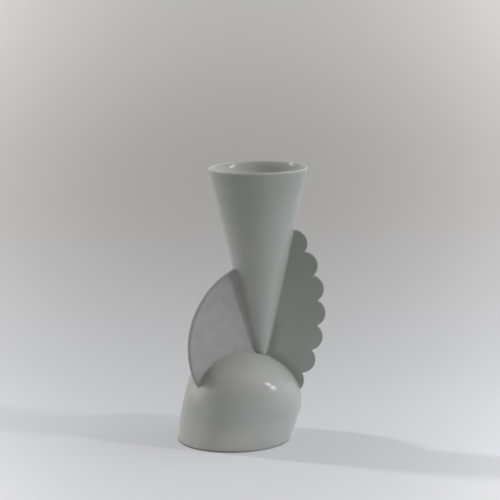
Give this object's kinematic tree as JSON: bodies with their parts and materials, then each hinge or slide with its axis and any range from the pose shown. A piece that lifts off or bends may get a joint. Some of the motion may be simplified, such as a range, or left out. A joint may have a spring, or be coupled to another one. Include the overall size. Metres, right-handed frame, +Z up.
{
  "type": "footed cone vase",
  "caption": "Free-standing ceramic vase: a slim cone vessel seated in a leaning egg-shaped foot, braced by a half-disc fin and a scalloped fin.",
  "frame": {"origin": "centre of the foot ring, on the table", "axes": "+Z up along the cone, +X the way the egg leans and the scalloped fin points, -Y the front of the picture"},
  "size_m": [0.1416, 0.1098, 0.26],
  "materials": {
    "satin_glaze": "satin pale grey-green glaze on porcelain",
    "cloth_textured_clay": "matt pale grey porcelain with a fine cloth imprint"
  },
  "bodies": {
    "root": {"cone_vessel": "satin_glaze", "egg_base": "satin_glaze", "disc_fin": "cloth_textured_clay", "scalloped_fin": "satin_glaze"}
  },
  "joints": []
}
